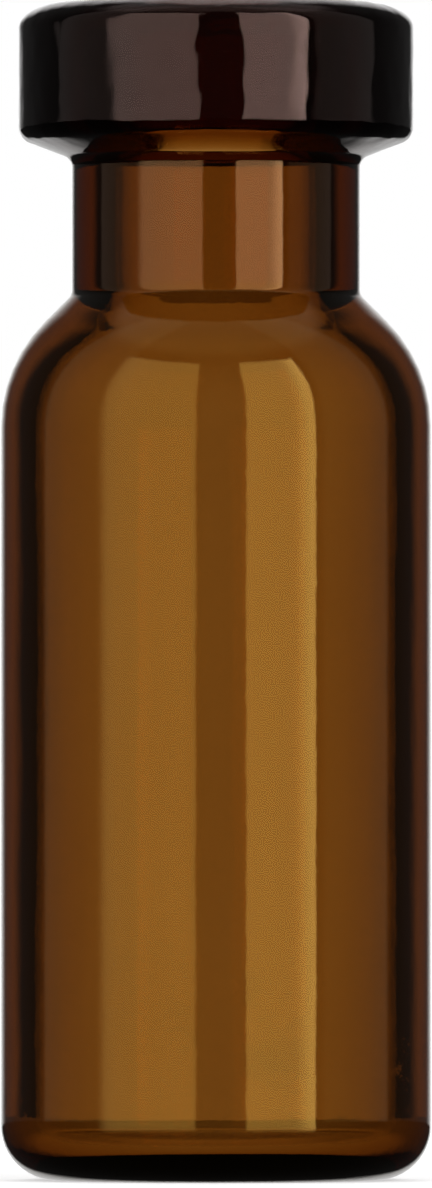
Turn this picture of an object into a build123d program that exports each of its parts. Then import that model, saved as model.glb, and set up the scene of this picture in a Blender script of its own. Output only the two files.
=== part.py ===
from build123d import *
import math
import os

# Amber glass sample vial with a crimp neck, in millimetres. It is one tube of borosilicate
# glass, closed flat at the bottom, drawn in at the shoulder and pressed out at the mouth into
# the thick lip that an aluminium cap is crimped over.
# The origin is the centre of the foot that the vial stands on, and +Z is the vial's axis.

# Overall sizes
total_height = 32.0
body_diameter = 11.7

# Thickness of the glass
wall_thickness = 0.95
base_thickness = 0.95

# Foot: a flat ring round a shallow push-up, which crowns the floor inside by as much
foot_ring_width = 0.9
push_up_height = 0.15
heel_radius = 1.5
inner_heel_radius = 0.6

# Shoulder: a large round turns the wall in, then a straight cone runs up to the neck
shoulder_slope = math.radians(45)
shoulder_radius = 4.0
inner_shoulder_radius = 2.9
inner_shoulder_blend_radius = 1.2

# Neck and its bore
neck_diameter = 7.84
neck_length = 3.7
neck_foot_radius = 0.3
bore_diameter = 5.5

# Lip: the cap's skirt is rolled in under its sloping lower face
lip_diameter = 10.75
lip_height = 4.2
lip_underside_slope = math.radians(21)
lip_neck_radius = 0.35
lip_lower_radius = 0.45
lip_crown_width = 1.1
lip_crown_height = 0.66
mouth_edge_radius = 0.3

# Radii from the axis
body_radius = body_diameter / 2
inner_radius = body_radius - wall_thickness
neck_radius = neck_diameter / 2
bore_radius = bore_diameter / 2
lip_radius = lip_diameter / 2
foot_ring_radius = body_radius - heel_radius - foot_ring_width

# Heights of the outside's corners before they are rounded. The lip and the neck hang from the
# top of the vial, and the body takes up what is left of its height.
lip_foot_height = total_height - lip_height
lip_edge_height = lip_foot_height + (lip_radius - neck_radius) * math.tan(lip_underside_slope)
crown_foot_height = total_height - lip_crown_height
neck_foot_height = lip_foot_height - neck_length
shoulder_height = neck_foot_height - (body_radius - neck_radius) * math.tan(shoulder_slope)

# Heights of the inside's corners: its cone lies one wall's thickness under the outer cone
half_turn = (math.pi / 2 - shoulder_slope) / 2
inner_shoulder_height = shoulder_height - wall_thickness * math.tan(half_turn)
cavity_top_height = inner_shoulder_height + (inner_radius - bore_radius) * math.tan(shoulder_slope)

# On a narrow shoulder the large round is only as big as the cone beside it
cone_length = (body_radius - neck_radius) / math.cos(shoulder_slope)
widest_shoulder_radius = cone_length / math.tan(half_turn) - neck_foot_radius
outer_shoulder_radius = min(shoulder_radius, widest_shoulder_radius)


def shallow_dome(radius, foot_height, rise):
    """The half section of a shallow dome: an arc from its top, on the axis, to its edge."""
    bend_radius = (radius**2 + rise**2) / (2 * rise)
    half_way = radius / 2
    drop = bend_radius - math.sqrt(bend_radius**2 - half_way**2)
    top = foot_height + rise
    return ThreePointArc((0, top), (half_way, top - drop), (radius, foot_height))


def outer_outline():
    """The outer skin, from the middle of the push-up to the flat top of the rim."""
    push_up = shallow_dome(foot_ring_radius, 0, push_up_height)
    side = FilletPolyline(
        (foot_ring_radius, 0),
        (body_radius, 0),
        (body_radius, shoulder_height),
        (neck_radius, neck_foot_height),
        (neck_radius, lip_foot_height),
        (lip_radius, lip_edge_height),
        (lip_radius, crown_foot_height),
        radius=(
            heel_radius,
            outer_shoulder_radius,
            neck_foot_radius,
            lip_neck_radius,
            lip_lower_radius,
        ),
    )
    crown = EllipticalCenterArc(
        (lip_radius - lip_crown_width, crown_foot_height),
        lip_crown_width,
        lip_crown_height,
        0,
        arc_size=90,
    )
    return [push_up, side, crown]


def inner_outline():
    """The inner skin, from the middle of the floor to the flat top of the rim."""
    floor = shallow_dome(foot_ring_radius, base_thickness, push_up_height)
    side = FilletPolyline(
        (foot_ring_radius, base_thickness),
        (inner_radius, base_thickness),
        (inner_radius, inner_shoulder_height),
        (bore_radius, cavity_top_height),
        (bore_radius, total_height),
        (lip_radius - lip_crown_width, total_height),
        radius=(
            inner_heel_radius,
            inner_shoulder_radius,
            inner_shoulder_blend_radius,
            mouth_edge_radius,
        ),
    )
    return [floor, side]


def vial():
    """The whole vial: the section between the two skins, turned about the axis."""
    axis_line = Line((0, push_up_height), (0, base_thickness + push_up_height))
    edges = [axis_line.edge()]
    for outline in outer_outline() + inner_outline():
        edges += outline.edges()
    section = Plane.XZ * make_face(edges)
    return revolve(section, axis=Axis.Z)


os.makedirs("parts", exist_ok=True)
export_step(vial(), "parts/vial.step")
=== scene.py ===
import math

import bpy
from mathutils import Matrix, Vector


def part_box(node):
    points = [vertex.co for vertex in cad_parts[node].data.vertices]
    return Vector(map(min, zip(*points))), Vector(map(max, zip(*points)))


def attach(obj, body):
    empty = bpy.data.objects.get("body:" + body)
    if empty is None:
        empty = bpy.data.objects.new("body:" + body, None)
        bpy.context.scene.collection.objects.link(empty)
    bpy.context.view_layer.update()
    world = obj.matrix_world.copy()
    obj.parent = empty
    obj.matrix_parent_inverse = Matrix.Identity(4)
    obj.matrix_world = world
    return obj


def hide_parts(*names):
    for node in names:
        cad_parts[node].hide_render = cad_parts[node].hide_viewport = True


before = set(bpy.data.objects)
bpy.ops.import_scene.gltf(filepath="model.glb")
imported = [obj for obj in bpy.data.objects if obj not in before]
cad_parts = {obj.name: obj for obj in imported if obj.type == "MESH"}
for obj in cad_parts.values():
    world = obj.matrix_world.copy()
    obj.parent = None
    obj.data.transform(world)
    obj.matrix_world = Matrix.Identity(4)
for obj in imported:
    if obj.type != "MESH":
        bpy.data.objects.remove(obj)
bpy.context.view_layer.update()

# --- Section of the vial ------------------------------------------------------------------
# The vial is one piece of amber borosilicate glass, made from a tube: closed flat at the foot,
# drawn in at the shoulder and pressed out into a thick lip. Its half section is a run of
# corners, outside and inside, each with the round that the flame leaves on it.
MM = 0.001
vial_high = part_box("vial")[1]
total_height = vial_high[2]
body_radius = vial_high[0]
wall_thickness = 0.95 * MM
inner_radius = body_radius - wall_thickness
base_thickness = 0.95 * MM
push_up_height = 0.15 * MM
heel_radius = 1.5 * MM
foot_ring_width = 0.9 * MM
foot_ring_radius = body_radius - heel_radius - foot_ring_width
neck_radius = 3.92 * MM
bore_radius = 2.75 * MM
lip_radius = 5.375 * MM
lip_crown_width, lip_crown_height = 1.1 * MM, 0.66 * MM

lip_height, neck_length = 4.2 * MM, 3.7 * MM
underside_rise = math.tan(math.radians(21))
shoulder_slope = math.radians(45)
shoulder_rise = math.tan(shoulder_slope)
shoulder_half_turn = (math.pi / 2 - shoulder_slope) / 2

lip_foot_height = total_height - lip_height
lip_edge_height = lip_foot_height + (lip_radius - neck_radius) * underside_rise
crown_foot_height = total_height - lip_crown_height
crown_edge_radius = lip_radius - lip_crown_width
neck_foot_height = lip_foot_height - neck_length
shoulder_height = neck_foot_height - (body_radius - neck_radius) * shoulder_rise
inner_shoulder_height = shoulder_height - wall_thickness * math.tan(shoulder_half_turn)
cavity_top_height = inner_shoulder_height + (inner_radius - bore_radius) * shoulder_rise

# Each corner is (radius, height, round)
outer_corners = [
    (foot_ring_radius, 0, 0),
    (body_radius, 0, heel_radius),
    (body_radius, shoulder_height, 4.0 * MM),
    (neck_radius, neck_foot_height, 0.3 * MM),
    (neck_radius, lip_foot_height, 0.35 * MM),
    (lip_radius, lip_edge_height, 0.45 * MM),
    (lip_radius, crown_foot_height, 0),
]
inner_corners = [
    (foot_ring_radius, base_thickness, 0),
    (inner_radius, base_thickness, 0.6 * MM),
    (inner_radius, inner_shoulder_height, 2.9 * MM),
    (bore_radius, cavity_top_height, 1.2 * MM),
    (bore_radius, total_height, 0.3 * MM),
    (crown_edge_radius, total_height, 0),
]


def straight(start, end, longest=0.2 * MM):
    """Points from start to just short of end, no further apart than longest."""
    steps = max(1, math.ceil((end - start).length / longest))
    return [start.lerp(end, k / steps) for k in range(steps)]


def arc(start, centre, turn, widest=math.radians(7.5)):
    """Points round centre from start, through the signed angle turn, just short of its end."""
    steps = max(3, math.ceil(abs(turn) / widest))
    spoke = start - centre
    points = []
    for k in range(steps):
        c, s = math.cos(turn * k / steps), math.sin(turn * k / steps)
        points.append(centre + Vector((spoke.x * c - spoke.y * s, spoke.x * s + spoke.y * c)))
    return points


def rounded_run(corners):
    """Points along the straight runs between corners, each of which is rounded."""
    here = Vector(corners[0][:2])
    points = []
    for corner, after in zip(corners[1:], corners[2:]):
        point, radius = Vector(corner[:2]), corner[2]
        back = (here - point).normalized()
        on = (Vector(after[:2]) - point).normalized()
        turn = math.pi - back.angle(on)
        setback = radius * math.tan(turn / 2)
        centre = point + (back + on).normalized() * radius / math.cos(turn / 2)
        side = math.copysign(1, back.y * on.x - back.x * on.y)
        points += straight(here, point + back * setback)
        points += arc(point + back * setback, centre, side * turn)
        here = point + on * setback
    end = Vector(corners[-1][:2])
    return points + straight(here, end) + [end]


def dome(foot_height, steps=10):
    """Points down a shallow dome, from its top on the axis to just short of its edge."""
    bend = (foot_ring_radius**2 + push_up_height**2) / (2 * push_up_height)
    points = []
    for k in range(steps):
        r = foot_ring_radius * k / steps
        points.append(Vector((r, foot_height + push_up_height - bend + math.sqrt(bend**2 - r**2))))
    return points


def crown(steps=10):
    """Points up the elliptical outer edge of the lip, short of both its ends."""
    points = []
    for k in range(1, steps):
        angle = math.pi / 2 * k / steps
        r = crown_edge_radius + lip_crown_width * math.cos(angle)
        points.append(Vector((r, crown_foot_height + lip_crown_height * math.sin(angle))))
    return points


outer_skin = dome(0) + rounded_run(outer_corners) + crown()
inner_skin = dome(base_thickness) + rounded_run(inner_corners)
section = outer_skin + inner_skin[::-1]
section_mesh = bpy.data.meshes.new("glass_section")
section_mesh.from_pydata([(p.x, 0, p.y) for p in section], [], [])
inside = section_mesh.attributes.new("inside", "FLOAT", "POINT")
inside.data.foreach_set("value", [0.0] * len(outer_skin) + [1.0] * len(inner_skin))
vial = bpy.data.objects.new("amber_vial", section_mesh)
bpy.context.scene.collection.objects.link(vial)

# --- Amber glass --------------------------------------------------------------------------
# Iron and sulphur colour the melt, so the amber deepens with the thickness of the glass: thin
# walls are honey brown, and the lip and the foot, seen through their whole width, near black.
glass = bpy.data.materials.new("amber_glass")
glass.use_nodes = True
made = glass.node_tree.nodes
wire = glass.node_tree.links.new
shader = made["Principled BSDF"]
shader.inputs["IOR"].default_value = 1.5
shader.inputs["Transmission Weight"].default_value = 1.0
melt = made.new("ShaderNodeVolumeAbsorption")
melt.inputs["Color"].default_value = (0.648, 0.43, 0.01, 1)
melt.inputs["Density"].default_value = 2680
wire(melt.outputs["Volume"], made["Material Output"].inputs["Volume"])
spot = made.new("ShaderNodeTexCoord")
height = made.new("ShaderNodeSeparateXYZ")
wire(spot.outputs["Object"], height.inputs[0])
rise = made.new("ShaderNodeMath")
rise.operation = "DIVIDE"
rise.inputs[1].default_value = total_height
wire(height.outputs["Z"], rise.inputs[0])
sheen = made.new("ShaderNodeValToRGB")
wire(rise.outputs[0], sheen.inputs[0])
body_tint = (1.0, 0.6, 0.11, 1)
neck_tint = (1.0, 0.52, 0.22, 1)
lip_tint = (0.65, 0.42, 0.36, 1)
stops = sheen.color_ramp.elements
stops[0].position = (neck_foot_height - 0.5 * MM) / total_height
stops[0].color = body_tint
stops[1].position = (neck_foot_height + 0.3 * MM) / total_height
stops[1].color = neck_tint
stops.new(lip_foot_height / total_height).color = neck_tint
stops.new(lip_edge_height / total_height).color = lip_tint
wire(sheen.outputs["Color"], shader.inputs["Specular Tint"])


def glass_noise(scale, stretch, detail=3.0):
    """Noise with scale waves to the metre round the vial and stretch times as many up it."""
    drawn_out = made.new("ShaderNodeVectorMath")
    drawn_out.operation = "MULTIPLY"
    drawn_out.inputs[1].default_value = (1, 1, stretch)
    wire(spot.outputs["Object"], drawn_out.inputs[0])
    noise = made.new("ShaderNodeTexNoise")
    noise.inputs["Scale"].default_value = scale
    noise.inputs["Detail"].default_value = detail
    wire(drawn_out.outputs[0], noise.inputs["Vector"])
    return noise.outputs[0]


def spread(value, low, high, at_low, at_high):
    """Takes low..high to at_low..at_high, and holds the ends."""
    node = made.new("ShaderNodeMapRange")
    ends = {"From Min": low, "From Max": high, "To Min": at_low, "To Max": at_high}
    for name, number in ends.items():
        node.inputs[name].default_value = number
    wire(value, node.inputs["Value"])
    return node.outputs["Result"]


# Cords, which are faint streaks of uneven melt, run up the glass. Handling leaves smudges, the
# drawing of the tube leaves fine lines, and the tool that presses the lip leaves its skin.
cords = made.new("ShaderNodeMix")
cords.data_type = "RGBA"
wire(spread(glass_noise(420, 0.08), 0.35, 0.65, 0.0, 1.0), cords.inputs["Factor"])
cords.inputs[6].default_value = (1.0, 1.0, 1.0, 1)
cords.inputs[7].default_value = (0.96, 0.925, 0.87, 1)
wire(cords.outputs[2], shader.inputs["Base Color"])
smudges = spread(glass_noise(330, 0.7), 0.45, 0.72, 0.0, 0.045)
wire(smudges, shader.inputs["Roughness"])
draw_lines = made.new("ShaderNodeBump")
draw_lines.inputs["Strength"].default_value = 0.35
draw_lines.inputs["Distance"].default_value = 0.004 * MM
wire(glass_noise(1500, 0.06), draw_lines.inputs["Height"])
pressed_skin = made.new("ShaderNodeBump")
pressed_skin.inputs["Strength"].default_value = 0.4
pressed_skin.inputs["Distance"].default_value = 0.006 * MM
wire(glass_noise(1900, 0.8), pressed_skin.inputs["Height"])
wire(draw_lines.outputs["Normal"], pressed_skin.inputs["Normal"])
wire(pressed_skin.outputs["Normal"], shader.inputs["Normal"])

# --- Turning the section --------------------------------------------------------------------
# Built in Geometry Nodes: a sheet of as many rows as the section has points is wrapped round
# the axis and closed, then its skins get the faint waves that drawing and pressing leave.
turn_tree = bpy.data.node_groups.new("turn_glass", "GeometryNodeTree")
face = turn_tree.interface
face.new_socket("Section", in_out="INPUT", socket_type="NodeSocketGeometry")
sockets = {}
for name, kind in (
    ("Sides", "Int"),
    ("Glass", "Material"),
    ("Lip Foot", "Float"),
    ("Skin Wave", "Float"),
    ("Lip Wave", "Float"),
    ("Inner Wave", "Float"),
):
    made_socket = face.new_socket(name, in_out="INPUT", socket_type="NodeSocket" + kind)
    sockets[name] = made_socket.identifier
face.new_socket("Vial", in_out="OUTPUT", socket_type="NodeSocketGeometry")


def step(kind, inputs=(), **settings):
    """One node of the tree, with its settings, and its inputs set or wired in order."""
    new = turn_tree.nodes.new(kind)
    for name, value in settings.items():
        setattr(new, name, value)
    for key, value in dict(inputs).items():
        if isinstance(value, bpy.types.NodeSocket):
            turn_tree.links.new(value, new.inputs[key])
        else:
            new.inputs[key].default_value = value
    return new


def maths(operation, *values):
    return step("ShaderNodeMath", enumerate(values), operation=operation).outputs[0]


given = step("NodeGroupInput").outputs
rows = step(
    "GeometryNodeAttributeDomainSize", {"Geometry": given["Section"]}, component="MESH"
).outputs["Point Count"]
columns = maths("ADD", given["Sides"], 1)
sheet = step("GeometryNodeMeshGrid", {"Vertices X": columns, "Vertices Y": rows})
index = step("GeometryNodeInputIndex").outputs[0]
row = maths("FLOORED_MODULO", index, rows)
column = maths("FLOOR", maths("DIVIDE", maths("ADD", index, 0.5), rows))


def from_section(value, kind):
    """A value of the section's points, read for the row that a point of the sheet is in."""
    read = {"Geometry": given["Section"], "Value": value, "Index": row}
    return step("GeometryNodeSampleIndex", read, data_type=kind).outputs["Value"]


place = from_section(step("GeometryNodeInputPosition").outputs[0], "FLOAT_VECTOR")
named = step("GeometryNodeInputNamedAttribute", {"Name": "inside"}, data_type="FLOAT")
within = from_section(named.outputs["Attribute"], "FLOAT")
angle = maths("MULTIPLY", maths("DIVIDE", column, given["Sides"]), 2 * math.pi)
spin = step("ShaderNodeVectorRotate", {"Vector": place, "Angle": angle}, rotation_type="Z_AXIS")
wrap = step(
    "GeometryNodeSetPosition", {"Geometry": sheet.outputs["Mesh"], "Position": spin.outputs[0]}
)
keep = step(
    "GeometryNodeStoreNamedAttribute",
    {"Geometry": wrap.outputs[0], "Name": "inside", "Value": within},
    data_type="FLOAT",
)
close = step(
    "GeometryNodeMergeByDistance", {"Geometry": keep.outputs[0], "Distance": 0.001 * MM}
)


def waves(scale, stretch, seed):
    """Noise from -0.5 to 0.5 at a point, with scale waves to the metre round the vial and
    stretch times as many of them up it."""
    here = step("GeometryNodeInputPosition").outputs[0]
    drawn = step(
        "ShaderNodeVectorMath", {0: here, 1: (1, 1, stretch)}, operation="MULTIPLY"
    ).outputs[0]
    noise = step(
        "ShaderNodeTexNoise",
        {"Vector": drawn, "W": seed, "Scale": scale, "Detail": 1.5},
        noise_dimensions="4D",
    )
    return maths("SUBTRACT", noise.outputs[0], 0.5)


up = step("ShaderNodeSeparateXYZ", {0: step("GeometryNodeInputPosition").outputs[0]}).outputs["Z"]
full_lip = maths("ADD", given["Lip Foot"], 0.5 * MM)
on_lip = step(
    "ShaderNodeMapRange",
    {"Value": up, "From Min": given["Lip Foot"], "From Max": full_lip},
    interpolation_type="SMOOTHSTEP",
).outputs["Result"]
skin_named = step("GeometryNodeInputNamedAttribute", {"Name": "inside"}, data_type="FLOAT")
drawn_wave = maths("MULTIPLY", waves(260, 0.35, 3.0), given["Skin Wave"])
lip_wave = maths("MULTIPLY", waves(1700, 1.0, 7.0), given["Lip Wave"])
pressed_wave = maths("MULTIPLY", lip_wave, on_lip)
slumped_wave = maths(
    "MULTIPLY",
    maths("MULTIPLY", waves(230, 1.0, 11.0), given["Inner Wave"]),
    skin_named.outputs["Attribute"],
)
lift = maths("ADD", maths("ADD", drawn_wave, pressed_wave), slumped_wave)
offset = step(
    "ShaderNodeVectorMath",
    {0: step("GeometryNodeInputNormal").outputs[0], "Scale": lift},
    operation="SCALE",
)
wave = step(
    "GeometryNodeSetPosition", {"Geometry": close.outputs["Geometry"], "Offset": offset.outputs[0]}
)
smooth = step("GeometryNodeSetShadeSmooth", {"Geometry": wave.outputs["Geometry"]})
real = step("GeometryNodeRealizeInstances", {"Geometry": smooth.outputs["Geometry"]})
coat = step(
    "GeometryNodeSetMaterial", {"Geometry": real.outputs["Geometry"], "Material": given["Glass"]}
)
step("NodeGroupOutput", {"Vial": coat.outputs["Geometry"]})

turning = vial.modifiers.new("turn_glass", "NODES")
turning.node_group = turn_tree
turning[sockets["Sides"]] = 224
turning[sockets["Glass"]] = glass
turning[sockets["Lip Foot"]] = lip_foot_height
turning[sockets["Skin Wave"]] = 0.006 * MM
turning[sockets["Lip Wave"]] = 0.045 * MM
turning[sockets["Inner Wave"]] = 0.05 * MM
vial.data = bpy.data.meshes.new_from_object(
    vial.evaluated_get(bpy.context.evaluated_depsgraph_get())
)
vial.modifiers.remove(turning)
vial.data.name = "amber_vial"

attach(vial, "root")
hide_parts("vial")

# --- Floor ----------------------------------------------------------------------------------
# A sheet of pale card that the vial stands on. It takes the vial's shadow.
bpy.ops.mesh.primitive_circle_add(vertices=96, radius=3.0, fill_type="NGON")
floor = bpy.context.object
floor.name = "floor"
card = bpy.data.materials.new("pale_card")
card.use_nodes = True
card.node_tree.nodes.clear()
made = card.node_tree.nodes
wire = card.node_tree.links.new
matt = made.new("ShaderNodeBsdfDiffuse")
matt.inputs["Color"].default_value = (0.8, 0.8, 0.8, 1)
glow = made.new("ShaderNodeEmission")
ray = made.new("ShaderNodeLightPath")
level = made.new("ShaderNodeMath")
level.operation = "MULTIPLY"
level.inputs[1].default_value = 0.55
wire(ray.outputs["Is Camera Ray"], level.inputs[0])
wire(level.outputs[0], glow.inputs["Strength"])
both = made.new("ShaderNodeAddShader")
wire(matt.outputs[0], both.inputs[0])
wire(glow.outputs[0], both.inputs[1])
wire(both.outputs[0], made.new("ShaderNodeOutputMaterial").inputs["Surface"])
floor.data.materials.append(card)
floor.visible_glossy = False
floor.visible_transmission = False

# --- Studio light ---------------------------------------------------------------------------
# Two soft panels in front, left and right of the camera, dim walls at the sides, black flags
# beyond them and a white backdrop behind, all as directions in the world.
world = bpy.data.worlds.new("studio")
bpy.context.scene.world = world
world.use_nodes = True
world.node_tree.nodes.clear()
studio = world.node_tree


def part(kind, inputs=(), **settings):
    """One node of the world, with its settings, and its inputs set or wired in order."""
    new = studio.nodes.new(kind)
    for name, value in settings.items():
        setattr(new, name, value)
    for key, value in dict(inputs).items():
        if isinstance(value, bpy.types.NodeSocket):
            studio.links.new(value, new.inputs[key])
        else:
            new.inputs[key].default_value = value
    return new


def sum_up(operation, *values):
    """One sum in the world's nodes, on values that are numbers or sockets."""
    return part("ShaderNodeMath", enumerate(values), operation=operation).outputs[0]


def past(value, low, high):
    """0 below low, 1 above high and smooth between."""
    return part(
        "ShaderNodeMapRange",
        {"Value": value, "From Min": low, "From Max": high},
        interpolation_type="SMOOTHSTEP",
    ).outputs["Result"]


def between(value, low, high, soft):
    """1 from low to high and 0 outside, with each edge spread over soft on either side."""
    inside_low = past(value, low - soft, low + soft)
    inside_high = past(value, high + soft, high - soft)
    return sum_up("MULTIPLY", inside_low, inside_high)


way = part("ShaderNodeSeparateXYZ", {0: part("ShaderNodeTexCoord").outputs["Generated"]}).outputs
azimuth = sum_up("DEGREES", sum_up("ARCTAN2", way["X"], sum_up("MULTIPLY", way["Y"], -1)))
elevation = sum_up("DEGREES", sum_up("ARCSINE", way["Z"]))
turned_away = sum_up("ABSOLUTE", azimuth)
# The panels fade out softly below the level of the vial, and their tops are sharper
panel_rise = sum_up("MULTIPLY", past(elevation, -12, -3), past(elevation, 48.5, 45.5))
left_edges = sum_up("MULTIPLY", past(azimuth, -68, -58), past(azimuth, -9.5, -12))
left_panel = sum_up("MULTIPLY", left_edges, 2.2)
right_slope = sum_up("ADD", 3.3, sum_up("MULTIPLY", past(azimuth, 42, 54), 3.4))
right_panel = sum_up("MULTIPLY", between(azimuth, 16, 55, 1.0), right_slope)
panels = sum_up("MULTIPLY", sum_up("ADD", left_panel, right_panel), panel_rise)
rays = part("ShaderNodeLightPath").outputs
through = rays["Is Transmission Ray"]
side_level = sum_up("ADD", 0.27, sum_up("MULTIPLY", through, 0.3))
sides = sum_up("MULTIPLY", between(turned_away, 60, 105, 2.0), side_level)
mirrored = sum_up("MULTIPLY", rays["Is Glossy Ray"], sum_up("SUBTRACT", 1, through))
backdrop_turn = sum_up("SUBTRACT", turned_away, sum_up("MULTIPLY", mirrored, 10))
backdrop = past(backdrop_turn, 144, 162)
overhead = sum_up("MULTIPLY", past(elevation, 50, 60), 0.4)
upper = sum_up("ADD", sum_up("ADD", panels, sides), sum_up("ADD", backdrop, overhead))
# Below the horizon there is pale card: bright straight behind and through the glass, dark in front
low_back = sum_up("MULTIPLY", past(turned_away, 164, 170), past(elevation, -32, -18))
card_mirrored = sum_up("ADD", sum_up("MULTIPLY", low_back, 0.75), 0.02)
lower_glossy = sum_up("ADD", card_mirrored, panels)
lower_through = sum_up("ADD", 0.45, sum_up("MULTIPLY", past(elevation, -12, -24), 0.5))
lower_level = sum_up(
    "ADD",
    sum_up("MULTIPLY", through, lower_through),
    sum_up("MULTIPLY", sum_up("SUBTRACT", 1, through), lower_glossy),
)
shade = 0.055
is_low = past(elevation, -1.1, -1.5)
mixed = part(
    "ShaderNodeMix",
    {"Factor": is_low, 2: sum_up("ADD", upper, shade), 3: lower_level},
    data_type="FLOAT",
).outputs[0]
strength = part(
    "ShaderNodeMix", {"Factor": rays["Is Camera Ray"], 2: mixed, 3: 1.0}, data_type="FLOAT"
).outputs[0]
sky = part("ShaderNodeBackground", {"Color": (1, 1, 1, 1), "Strength": strength})
part("ShaderNodeOutputWorld", {"Surface": sky.outputs[0]})

# --- Camera ---------------------------------------------------------------------------------
# A long lens, a little above the foot, that fills the frame with the vial.
camera_distance = 450 * MM
camera_height = 7.9 * MM
picture_height = 32.33 * MM
aim_height = 15.95 * MM
lens = bpy.data.cameras.new("camera")
camera = bpy.data.objects.new("camera", lens)
bpy.context.scene.collection.objects.link(camera)
bpy.context.scene.camera = camera
camera.location = (0, -camera_distance, camera_height)
camera.rotation_euler = (
    (Vector((0, 0, aim_height)) - camera.location).to_track_quat("-Z", "Y").to_euler()
)
lens.sensor_width = 36
lens.lens = lens.sensor_width * camera_distance / picture_height

scene = bpy.context.scene
scene.view_settings.view_transform = "Standard"
scene.cycles.max_bounces = 32
scene.cycles.transmission_bounces = 32
scene.cycles.glossy_bounces = 16
